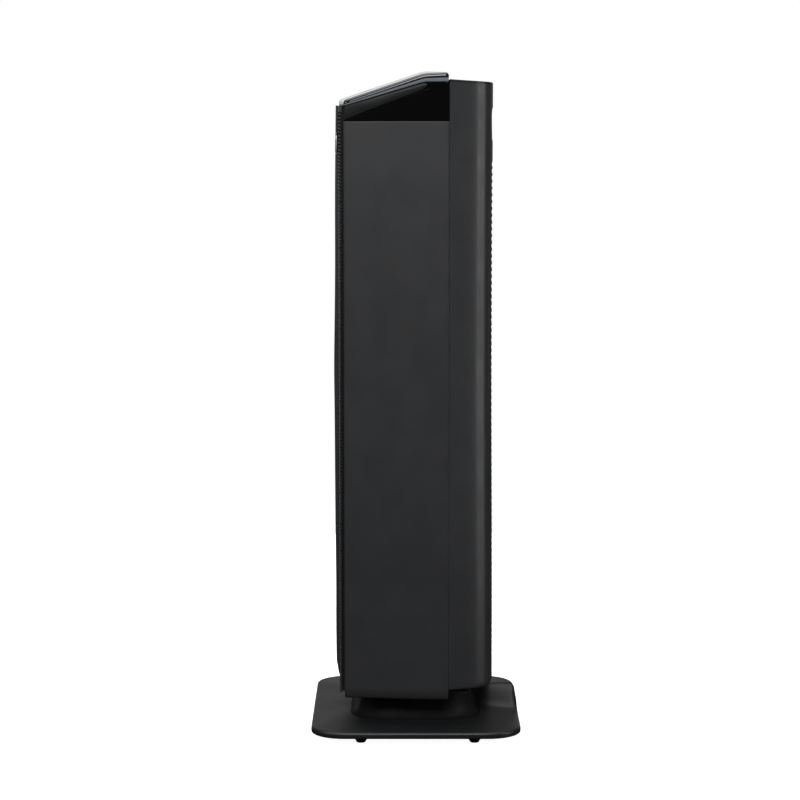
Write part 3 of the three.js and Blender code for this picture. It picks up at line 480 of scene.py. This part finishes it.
def make_spine():
    """The spine is boxy in section, curls in at its foot, and is notched across where the badge sits."""
    half, bottom, top = SPINE_HIGH.x, SPINE_LOW.z, SPINE_HIGH.z
    low, high = BADGE_LOW.z - 0.3, BADGE_HIGH.z + 0.3
    levels = [bottom + (top - bottom) * i / 40 for i in range(41)]
    levels = [z for z in levels if not low - 2 < z < high + 2]
    levels = sorted([*levels, low - 0.2, low + 0.2, high - 0.2, high + 0.2])
    rings = []
    for z in levels:
        notch = BADGE_NOTCH if low < z < high else 0
        front = spine_front(z) + notch + 2.5 * max(0.0, 1 - (z - bottom) / 9) ** 2
        ring = [(half, GRILLE_LOW.y + 0.5, z)]
        for k in range(17):
            t = 1 - k / 8
            drop = 1 - math.sqrt(max(0.0, 1 - abs(t) ** 8))
            ring.append((half * 0.985 * t, front + (GRILLE_LOW.y + 0.5 - front) * drop, z))
        ring.append((-half, GRILLE_LOW.y + 0.5, z))
        rings.append(ring)
    spine = build("front_spine_cover", *loft(rings), "satin_shell", replaces=["front_spine"])
    soften(spine, 0.3)


def make_badge():
    """A blank plate with rounded corners and a raised rim, standing in the spine's notch."""
    middle = (BADGE_LOW.z + BADGE_HIGH.z) / 2
    tall = (BADGE_HIGH.z - BADGE_LOW.z) / 2
    wide = BADGE_HIGH.x
    back = spine_front(middle) + BADGE_NOTCH + 0.1
    profile = [(0, 0), (0, 1.7), (0.2, 1.9), (0.8, 2.0), (1.4, 1.95), (1.9, 1.75), (2.4, 1.73)]
    profile += [(4.5, 1.85), (7.0, 1.9)]
    squarer = lambda v: math.copysign(abs(v) ** 0.6, v)
    outline = [(squarer(x), squarer(z)) for x, z in circle_points(1, 0, 0, 72)]
    rings = []
    for inset, proud in profile:
        rings.append([((wide - inset) * x, back - proud, middle + (tall - inset) * z) for x, z in outline])
    build("badge_oval", *loft(rings), "badge_silver", replaces=["badge"])


# ---- cap and bezel ----
def cap_height(x, y):
    """Height of the cap's top face, with the fold between its slope and its flat eased."""
    crown = crown_height(y) * (1 - (x / half_width(y)) ** 2)
    return min(edge_height(y) + crown, CAP_HIGH.z) - 0.35 * max(0.0, 1 - abs(y - KINK) / 6) ** 2


def cap_point(u, v, inset, radius, sink):
    """A point of the cap's top: u runs across from -1 to 1 and v from the front to the rear."""
    rear = CAP_HIGH.y - inset
    front_edge = BODY_FRONT + 0.4
    middle = front_edge + (rear - front_edge) * v
    half = half_width(middle) - inset
    x = half * u
    front = front_edge + inset - CAP_BOW * (1 - u * u)
    y = front + (rear - front) * v
    side = max(0.0, radius - (half - abs(x)))
    end = max(0.0, radius - min(y - front, rear - y))
    drop = radius - math.sqrt(max(0.0, radius**2 - side**2 - end**2))
    return x, y, cap_height(x, y) - drop - sink


def cap_stations(length, radius):
    """Shares of the length, close together where the edge rounds over."""
    near = [radius * (1 - math.cos(math.pi / 2 * k / 7)) / length for k in range(8)]
    inner = [near[-1] + (1 - 2 * near[-1]) * k / 26 for k in range(1, 26)]
    return [*near, *inner, *[1 - s for s in reversed(near)]]


def make_cap():
    wall, radius = 2.5, 3.3
    us = [2 * s - 1 for s in cap_stations(2 * HALF_SEAM, radius)]
    vs = cap_stations(CAP_HIGH.y - BODY_FRONT, radius)
    outer = [[cap_point(u, v, 0, radius, 0) for u in us] for v in vs]
    inner = [[cap_point(u, v, wall, 1.2, wall) for u in us] for v in vs]

    def border(rows):
        right = [row[-1] for row in rows[1:-1]]
        left = [row[0] for row in rows[1:-1]]
        return [*rows[0], *right, *reversed(rows[-1]), *reversed(left)]

    edge, under = border(outer), border(inner)
    skirt = []
    for share, inset in ((0.3, 0), (0.45, 0.05), (0.9, 0.35), (0.96, 0.6), (1.0, 1.1)):
        ring = []
        for (x, y, z), (xi, yi, _) in zip(edge, under):
            low = skirt_height(y)
            pull = inset / wall
            ring.append((x + (xi - x) * pull, y + (yi - y) * pull, z + (low - z) * share))
        skirt.append(ring)
    lip = [(xi, yi, skirt_height(y)) for (_, y, _), (xi, yi, _) in zip(edge, under)]

    verts, faces = grid(outer)
    indices = [0] * len(faces)
    count = len(edge)

    def add_ring(ring):
        verts.extend(ring)
        return list(range(len(verts) - count, len(verts)))

    def number(rows):
        width = len(us)
        ids = [[i * width + j for j in range(width)] for i in range(len(rows))]
        return border(ids)

    loops = [number(outer), *[add_ring(ring) for ring in skirt], add_ring(lip)]
    start = len(verts)
    inner_verts, inner_faces = grid(inner)
    verts.extend(inner_verts)
    faces.extend(tuple(k + start for k in face) for face in inner_faces)
    indices.extend([0] * len(inner_faces))
    loops.append([k + start for k in number(inner)])
    for i, (a, b) in enumerate(zip(loops, loops[1:])):
        for j in range(count):
            n = (j + 1) % count
            faces.append((a[j], a[n], b[n], b[j]))
            # The skirt's lower band takes the painted highlight.
            indices.append(1 if i in (1, 2) else 0)
    cap = build("top_cap_shell", verts, faces, "smoked_cap", replaces=["top_cap"],
                looks=[LOOKS["smoked_cap"], CAP_PAINTED_HIGHLIGHT], indices=indices)

    slope = math.atan(SLOPE)
    out = Vector((0, -math.sin(slope), math.cos(slope)))
    up = Vector((0, math.cos(slope), math.sin(slope)))
    across = Vector((1, 0, 0))
    tools = []
    for name in BUTTONS:
        low, high = corners(name)
        centre = (low + high) / 2
        points = circle_points(7.2, 0, 0, 40)
        rings = [[tuple(centre + across * u + up * v + out * w) for u, v in points] for w in (-12, 16)]
        tools.append(build("tool", *loft(rings), "smoked_cap", body=None))
    low, high = corners("display_window")
    centre = (low + high) / 2
    outline = rounded_outline(38.3, 12.3, 4, per_side=2, per_corner=6)
    rings = [[tuple(centre + across * p.x + up * p.y + out * w) for p in outline] for w in (-6, 12)]
    tools.append(build("tool", *loft(rings), "smoked_cap", body=None))
    carve(cap, *tools)


BUTTONS = ["timer_button", "speed_button", "power_button", "mode_button", "filter_reset_button"]


def make_bezel():
    """A wedge on each side under the cap, thick at its rear end and rounded, and a bar across the front."""
    front = -74.8
    foot = lambda y: BEZEL_LOW.z + 0.8 + (y + 73) * 0.3734
    head = lambda y: skirt_height(y) - 0.5
    outline = [(y, foot(y)) for y in (front, -40, 0)]
    outline += [(5, foot(5) + 0.3), (9.2, foot(9.2) + 1.1), (11.4, foot(11.4) + 2.6)]
    outline += [(11.8, skirt_height(11) - 2.6), (10.4, skirt_height(10) - 0.9)]
    outline += [(y, head(y)) for y in (KINK, -40, front)]

    def shrunk(amount):
        """The outline moved in by an amount."""
        points = []
        for i, p in enumerate(outline):
            before, after = Vector(outline[i - 1]), Vector(outline[(i + 1) % len(outline)])
            p = Vector(p)
            along = (after - p).normalized() + (p - before).normalized()
            normal = Vector((-along.y, along.x)).normalized()
            points.append(p + normal * amount)
        return points

    for side, sign in (("right", 1), ("left", -1)):
        rings = []
        for back, inset in ((3.2, 0), (1.9, 0), (1.3, 0.12), (0.75, 0.45), (0.35, 0.95), (0.2, 1.6)):
            rings.append([(sign * (half_width(p.x) - back), p.x, p.y) for p in shrunk(inset)])
        replaced = ["control_bezel"] if side == "right" else []
        build(f"control_bezel_{side}", *loft(rings), "bezel", replaces=replaced)
    half, low, high = 107.8, PANEL_HIGH.z + 1.2, 671
    section = [(-75.7, low), (-73.3, low), (-73.3, high), (-75.7, high)]
    bar = loft([[(x, y, z) for y, z in section] for x in (-half, half)])
    soften(build("control_bezel_bar", *bar, "bezel"), 0.5)


def on_cap(x, y, lift):
    """A point that far above the cap's face."""
    return x, y - 0.32 * lift, cap_height(x, y) + lift


def make_controls():
    """Buttons that lie flush with the crowned face, the ring printed on each, and the display window."""
    lean = math.cos(math.atan(SLOPE))
    disc = [(6.9, -3.2), (6.9, -0.2), (6.8, -0.05), (6.55, 0.02), (5.6, 0.03), (3.4, 0.03), (1.6, 0.03)]
    mark = [(2.6, 0.035), (2.6, 0.07), (3.2, 0.07), (3.2, 0.035), (2.6, 0.035)]

    def turned(x, y, profile, count):
        """Rings round a point of the cap's face, at each radius and lift of a profile."""
        return [[on_cap(x + u, y + v * lean, lift) for u, v in circle_points(radius, 0, 0, count)]
                for radius, lift in profile]

    for name in BUTTONS:
        low, high = corners(name)
        x, y = (low.x + high.x) / 2, (low.y + high.y) / 2 + 0.3
        rings = turned(x, y, disc, 40)
        build(f"{name}_disc", *loft(rings), "smoked_cap", body=name, replaces=[name])
        rings = turned(x, y, mark, 32)
        build(f"{name}_ring", *loft(rings, ends=False), "badge_silver", body=name, looks=[PRINT])
    low, high = corners("display_window")
    middle = (low.y + high.y) / 2
    rings = []
    half_wide, half_tall, corner = 37.9, 12, 4
    for k in range(41):
        x = half_wide * math.sin(math.pi / 2 * (k / 20 - 1))
        past = max(0.0, abs(x) - (half_wide - corner))
        tall = (half_tall - corner + math.sqrt(max(0.0, corner**2 - past**2))) * lean
        ring = [on_cap(x, middle - tall + 2 * tall * i / 8, -0.05) for i in range(9)]
        rings.append([*ring, on_cap(x, middle + tall, -2.2), on_cap(x, middle - tall, -2.2)])
    build("display_window_pane", *loft(rings), "gloss_black", replaces=["display_window"])


# ---- rear casing and door ----
def casing_back(z):
    """How far the casing's back moves with height: a slight waist, and a flare at the foot."""
    return -0.4 + 1.5 * smoothstep(420, 100, z) + 0.35 * smoothstep(500, 690, z)


def casing_top(y):
    """Height of the rear top trim, which falls to the rear."""
    return 700.5 - 2.8 * (y - SEAM) / (82.4 - SEAM)


def casing_line(per_span=9):
    """The casing's right half seen from above, from the seam to the middle of the back."""
    side, back = HALF_SEAM - 0.4, CASING_HIGH.y
    return spline([
        (side, SEAM + 0.3), (side - 8.4, SEAM + 24), (side - 14, back - 14.4), (side - 21.5, back - 7.5),
        (side - 40.5, back - 2.2), (side - 70, back - 0.8), (0, back),
    ], per_span)


def casing_at(p, z):
    """A point of the casing's wall: the shift of its back fades out towards the seam."""
    share = smoothstep(SEAM, CASING_HIGH.y, p.y)
    return (p.x, p.y + casing_back(z) * share, z)


def make_rear():
    """The casing with its opening for the door, the trim on its top, and what the opening holds."""
    right = casing_line()
    line = [*right, *[Vector((-p.x, p.y)) for p in reversed(right[:-1])]]
    door_half = DOOR_HIGH.x
    edge = door_half + DOOR_GAP
    near = min(range(len(right)), key=lambda k: abs(right[k].x - edge))
    slide = lambda p, x: Vector((math.copysign(x, p.x), p.y))
    line[near] = slide(line[near], edge)
    line[len(line) - 1 - near] = slide(line[len(line) - 1 - near], edge)
    bottom, door_low, door_high = CASING_LOW.z, DOOR_LOW.z - DOOR_GAP, DOOR_HIGH.z + DOOR_GAP
    levels = [bottom + 3, door_low]
    levels += [door_low + (door_high - door_low) * k / 60 for k in range(1, 61)]
    front = SEAM + 0.3
    rows = []
    for pull, shift, rise in ((1, 0, 0), (0.55, 0.6, 0.4), (0.2, 0.6, 1.3)):
        deep = lambda y: front + (y - front) * (1 - 0.03 * pull) + shift
        rows.append([(p.x * (1 - 0.015 * pull), deep(p.y), bottom + rise) for p in line])
    rows += [[casing_at(p, z) for p in line] for z in levels]
    rows.append([(x, y, casing_top(y) - 2.3) for x, y, z in rows[-1]])
    first, last = 4, len(rows) - 2

    def keep(i, j):
        inside = near <= j < len(line) - 1 - near
        return not (inside and first <= i < last)

    verts, faces = grid(rows, keep)
    count = len(line)
    faces.append(tuple(reversed(range(count))))
    faces.append(tuple(range(len(verts) - count, len(verts))))
    housing = build("rear_housing_shell", verts, faces, "satin_shell", replaces=["rear_housing"])
    thicken(housing, 2.4)
    rings = []
    for inset, sink in ((0.1, 2.0), (0.1, 1.0), (0.35, 0.35), (0.95, 0.05), (2.2, 0)):
        narrow = 1 - inset / HALF_SEAM
        rings.append([(x * narrow, y - inset * smoothstep(front, SEAM + 8, y), casing_top(y) - sink)
                      for x, y, _ in rows[-2]])
    build("rear_top_trim_cover", *loft(rings), "gloss_black", replaces=["rear_top_trim"],
          looks=[LOOKS["base_shell"]])
    make_bay()
    make_door(right)


def make_bay():
    """The walls of the filter bay behind the door, which carry its hinge pins."""
    low, high = DOOR_LOW.z - 4, DOOR_HIGH.z + 2.8
    for side, sign in (("left", -1), ("right", 1)):
        x0, x1 = sign * (DOOR_HIGH.x + 0.4), sign * (DOOR_HIGH.x + 2.8)
        ring = lambda z: [(x0, SEAM + 2, z), (x1, SEAM + 2, z), (x1, 76.5, z), (x0, 76.5, z)]
        soften(build(f"filter_bay_{side}_wall", *loft([ring(low), ring(high)]), "inner_plastic"), 0.4)
    for name, z, back in (("ceiling", DOOR_HIGH.z + 0.4, 78.5), ("shelf", 628.4, 64)):
        ring = lambda x: [(x, SEAM + 2, z), (x, back, z), (x, back, z + 2.4), (x, SEAM + 2, z + 2.4)]
        half = DOOR_HIGH.x + 0.3
        soften(build(f"filter_bay_{name}", *loft([ring(-half), ring(half)]), "inner_plastic"), 0.4)


def make_door(right):
    """The intake door: fine louvres in two columns, and a pull recess above them."""
    half = DOOR_HIGH.x

    def back_at(x):
        """Depth of the casing's back at that distance from the middle."""
        for a, b in zip(right, right[1:]):
            if b.x <= abs(x) <= a.x:
                return a.y + (b.y - a.y) * (a.x - abs(x)) / max(a.x - b.x, 1e-6)
        return right[-1].y

    xs = [half, 88, 84, 80]
    xs += [80 - 76 * k / 14 for k in range(1, 15)]
    xs += [2]
    xs = [*xs, *[-x for x in reversed(xs)]]
    field_low, field_high = 84, 622
    louvres = int((field_high - field_low) / LOUVRE_PITCH)
    zs = [DOOR_LOW.z, 70, 77]
    for k in range(louvres):
        zs += [field_low + k * LOUVRE_PITCH, field_low + (k + 1) * LOUVRE_PITCH - LOUVRE_BAR]
    zs += [field_low + louvres * LOUVRE_PITCH, 628]
    zs += [RECESS_LOW + (RECESS_HIGH - RECESS_LOW) * k / 18 for k in range(19)]
    zs += [673, 679, DOOR_HIGH.z]

    def depth(x, z):
        """Depth of the finger recess, which slopes in from below and turns back under its top edge."""
        wide = smoothstep(81, 72, abs(x))
        rise = smoothstep(RECESS_LOW, RECESS_HIGH - 10, z) * smoothstep(RECESS_HIGH, RECESS_HIGH - 6, z)
        return RECESS_DEPTH * wide * rise

    rows = []
    for z in zs:
        row = []
        for x in xs:
            y = back_at(x)
            y += casing_back(z) * smoothstep(SEAM, CASING_HIGH.y, y) - depth(x, z)
            row.append((x, y, z))
        rows.append(row)

    def keep(i, j):
        low, x = zs[i], (xs[j] + xs[j + 1]) / 2
        louvre = field_low - 0.1 <= low < field_low + louvres * LOUVRE_PITCH - 0.1
        opening = louvre and zs[i + 1] - low > LOUVRE_BAR + 0.5
        return not (opening and 4 < abs(x) < 80)

    sheet = grid(rows, keep)
    door = build("rear_door_shell", *sheet, "satin_shell", body="rear_door", replaces=["rear_door"])
    thicken(door, 2.3)
    soften(door, 0.35)
    pin_low, pin_high = corners("hinge_pin_right")
    y, z = (pin_low.y + pin_high.y) / 2, (pin_low.z + pin_high.z) / 2
    turns = [math.pi + math.pi * k / 14 for k in range(15)]
    for side, sign in (("left", -1), ("right", 1)):
        rings = []
        for x in (sign * 83, sign * 88):
            ring = [(x, y + 3.3 * math.cos(turn), z + 3.3 * math.sin(turn)) for turn in turns]
            rings.append([*ring, (x, y + 3.2, z + 7), (x, y - 3.0, z + 7)])
        lug = build(f"rear_door_{side}_lug", *loft(rings), "satin_shell", body="rear_door")
        bore = [[(x, py, pz) for py, pz in circle_points(1.9, y, z, 20)] for x in (sign * 80, sign * 91)]
        carve(lug, build("tool", *loft(bore), "satin_shell", body=None))
        soften(lug, 0.3)


# ---- filter media ----
def make_pleats():
    """The pleated medium as one folded sheet with rounded folds."""
    low, high = corners("filter_pleats")
    folds = 62
    width = high.x - low.x
    line = []
    for i in range(folds * 4 + 1):
        x = low.x + width * i / (folds * 4)
        wave = math.asin(0.985 * math.sin(2 * math.pi * i / 8)) / (math.pi / 2)
        line.append((x, (low.y + high.y) / 2 + wave * (high.y - low.y - 1.6) / 2))
    rows = [[(x, y, z) for x, y in line] for z in (low.z, (low.z + high.z) / 2, high.z)]
    pleats = build("filter_pleat_sheet", *grid(rows), "filter_media", replaces=["filter_pleats"])
    thicken(pleats, 0.5)


# ---- side panels ----
def make_side_panels():
    """Each side panel is one sheet that turns in at its front edge and rolls under at its foot."""
    top, bottom, rise, turn_in = PANEL_HIGH.z, PANEL_LOW.z - 1.2, 12, 4
    for side, sign in (("right", 1), ("left", -1)):
        plan = [(HALF_FRONT - 6, BODY_FRONT), (HALF_FRONT - 1.6, BODY_FRONT)]
        for fast, slow in quarter_round(5)[1:]:
            plan.append((HALF_FRONT - 1.6 + 1.7 * fast, BODY_FRONT + 1.7 * slow))
        depths = [BODY_FRONT + 2.6, BODY_FRONT + 5, -55, -40, -25, -10]
        depths += [2, 6, 9, CREASE, 15, 18, 23, 28, SEAM - 2, SEAM - 0.6]
        plan += [(half_width(y) - 0.25 * max(0.0, 1 - abs(y - CREASE) / 6) ** 2, y) for y in depths]
        plan += [(HALF_SEAM - 0.3, SEAM - 0.1)]

        def ring(z, pull):
            """The plan at one height, pulled in towards the body's middle by that many millimetres."""
            ahead = lambda y: max(0.0, 1 - (y - BODY_FRONT) / 20)
            astern = lambda y: 0.1 * max(0.0, 1 - (SEAM - y) / 12)
            return [(sign * (x - pull), y + pull * (0.15 * ahead(y) - astern(y)), z) for x, y in plan]

        rows = [ring(top, 0.3), ring(top - 0.1, 0.08)]
        rows += [ring(top - fall, 0) for fall in (0.3, 0.7, 2)]
        rows += [ring(top - 2 + (bottom + rise - top + 3) * k / 12, 0) for k in range(1, 13)]
        rows += [ring(bottom + rise, 0)]
        rows += [ring(bottom + rise * (1 - fast), turn_in * slow) for fast, slow in quarter_round(8)[1:]]
        rows.append(ring(bottom, turn_in + 3))
        name = f"{side}_side_panel"
        thicken(build(f"{name}_sheet", *grid(rows), "satin_shell", replaces=[name]), 2.2 * sign)


# ---- CAD nodes that keep their shape ----
EDGE = {
    "control_head": 0.5, "rear_top_trim": 0.6, "door_latch": 0.6,
    "filter_frame": 0.8, "carbon_prefilter": 1.0, "motor": 0.6, "base_bottom_plate": 0.5,
}


def dress_nodes():
    """Gives every CAD node its material and rounded edges."""
    slots = {part["node"]: part["material_slot"] for part in frame["record"]["subparts"]}
    for name, node in frame["nodes"].items():
        mesh = node.data
        if "custom_normal" in mesh.attributes:
            mesh.attributes.remove(mesh.attributes["custom_normal"])
        mesh.polygons.foreach_set("use_smooth", [True] * len(mesh.polygons))
        mesh.materials.clear()
        mesh.materials.append(LOOKS[slots[name]])
        weld = node.modifiers.new("weld", "WELD")
        weld.merge_threshold = 0.01 * MM
        soften(node, EDGE.get(name, 0.25), segments=3 if name in EDGE else 2)


# ---- studio ----
def make_studio():
    """Camera, lamps, world and floor."""
    scene = bpy.context.scene
    scene.view_settings.view_transform = "Standard"
    scene.view_settings.look = "None"

    camera = bpy.data.objects.new("camera", bpy.data.cameras.new("camera"))
    looking_down = math.radians(6.339)
    camera.location = (2.740, -0.01704, 0.658)
    camera.rotation_euler = (math.pi / 2 - looking_down, 0, math.pi / 2)
    camera.data.lens = 113.26
    camera.data.sensor_width = 36
    scene.collection.objects.link(camera)
    scene.camera = camera

    def area(name, place, aim, width, height, power):
        lamp = bpy.data.objects.new(name, bpy.data.lights.new(name, "AREA"))
        lamp.data.shape = "RECTANGLE"
        lamp.data.size, lamp.data.size_y = width, height
        lamp.data.energy = power
        lamp.location = place
        lamp.rotation_euler = (Vector(place) - Vector(aim)).to_track_quat("Z", "Y").to_euler()
        scene.collection.objects.link(lamp)

    area("overhead", (-0.3, -0.2, 2.4), (0, 0, 0.3), 2.0, 2.0, 34)
    area("rear_strip", (0.72, 1.93, 0.8), (0, 0, 0.45), 0.16, 2.0, 15)
    area("side_fill", (2.3, -0.3, 1.95), (0, 0, 0.5), 1.5, 1.2, 47)
    area("front_fill", (1.0, -2.0, 1.5), (0, 0, 0.6), 0.8, 1.2, 12)

    world = bpy.data.worlds.new("studio")
    scene.world = world
    world.use_nodes = True
    nodes, links = world.node_tree.nodes, world.node_tree.links
    background = nodes["Background"]
    split = nodes.new("ShaderNodeSeparateXYZ")
    links.new(nodes.new("ShaderNodeTexCoord").outputs["Generated"], split.inputs["Vector"])

    def ramp(axis, start, end, low, high):
        node = nodes.new("ShaderNodeMapRange")
        for socket, value in (("From Min", start), ("From Max", end), ("To Min", low), ("To Max", high)):
            node.inputs[socket].default_value = value
        links.new(split.outputs[axis], node.inputs["Value"])
        return node.outputs["Result"]

    def combine(operation, a, b):
        node = nodes.new("ShaderNodeMath")
        node.operation = operation
        links.new(a, node.inputs[0])
        links.new(b, node.inputs[1])
        return node.outputs["Value"]

    backdrop = combine("MULTIPLY", ramp("X", -0.84, -0.95, 0, 1), ramp("Z", 0.15, 0.195, 1, 0.065))
    backdrop = combine("MULTIPLY", backdrop, ramp("Z", 0.03, 0.12, 0.5, 0.95))
    backdrop = combine("MULTIPLY", backdrop, ramp("Z", -0.02, 0.0, 0, 1))
    glow = combine("ADD", backdrop, ramp("Z", -0.15, 0.3, 0.022, 0.06))
    seen = nodes.new("ShaderNodeMix")
    links.new(nodes.new("ShaderNodeLightPath").outputs["Is Camera Ray"], seen.inputs["Factor"])
    links.new(glow, seen.inputs["A"])
    seen.inputs["B"].default_value = 1.0
    links.new(seen.outputs["Result"], background.inputs["Strength"])
    background.inputs["Color"].default_value = (1, 1, 1, 1)

    rim = circle_points(1.25 / MM, 0, 0, 96)
    disc = loft([[(x, y, z) for x, y in rim] for z in (-2, 0)])
    paint = look("floor_paint", (0.86, 0.86, 0.86), 0.9, grain=60, bump=0.02, shade=0.01,
                 Emission_Color=(1, 1, 1, 1), Emission_Strength=0.96)
    floor = build("floor", *disc, "filter_case", body=None, looks=[paint])
    floor.visible_diffuse = False
    floor.visible_glossy = False


make_studio()
make_base()
make_grille()
make_spine()
make_badge()
make_cap()
make_bezel()
make_controls()
make_side_panels()
make_rear()
make_pleats()
dress_nodes()
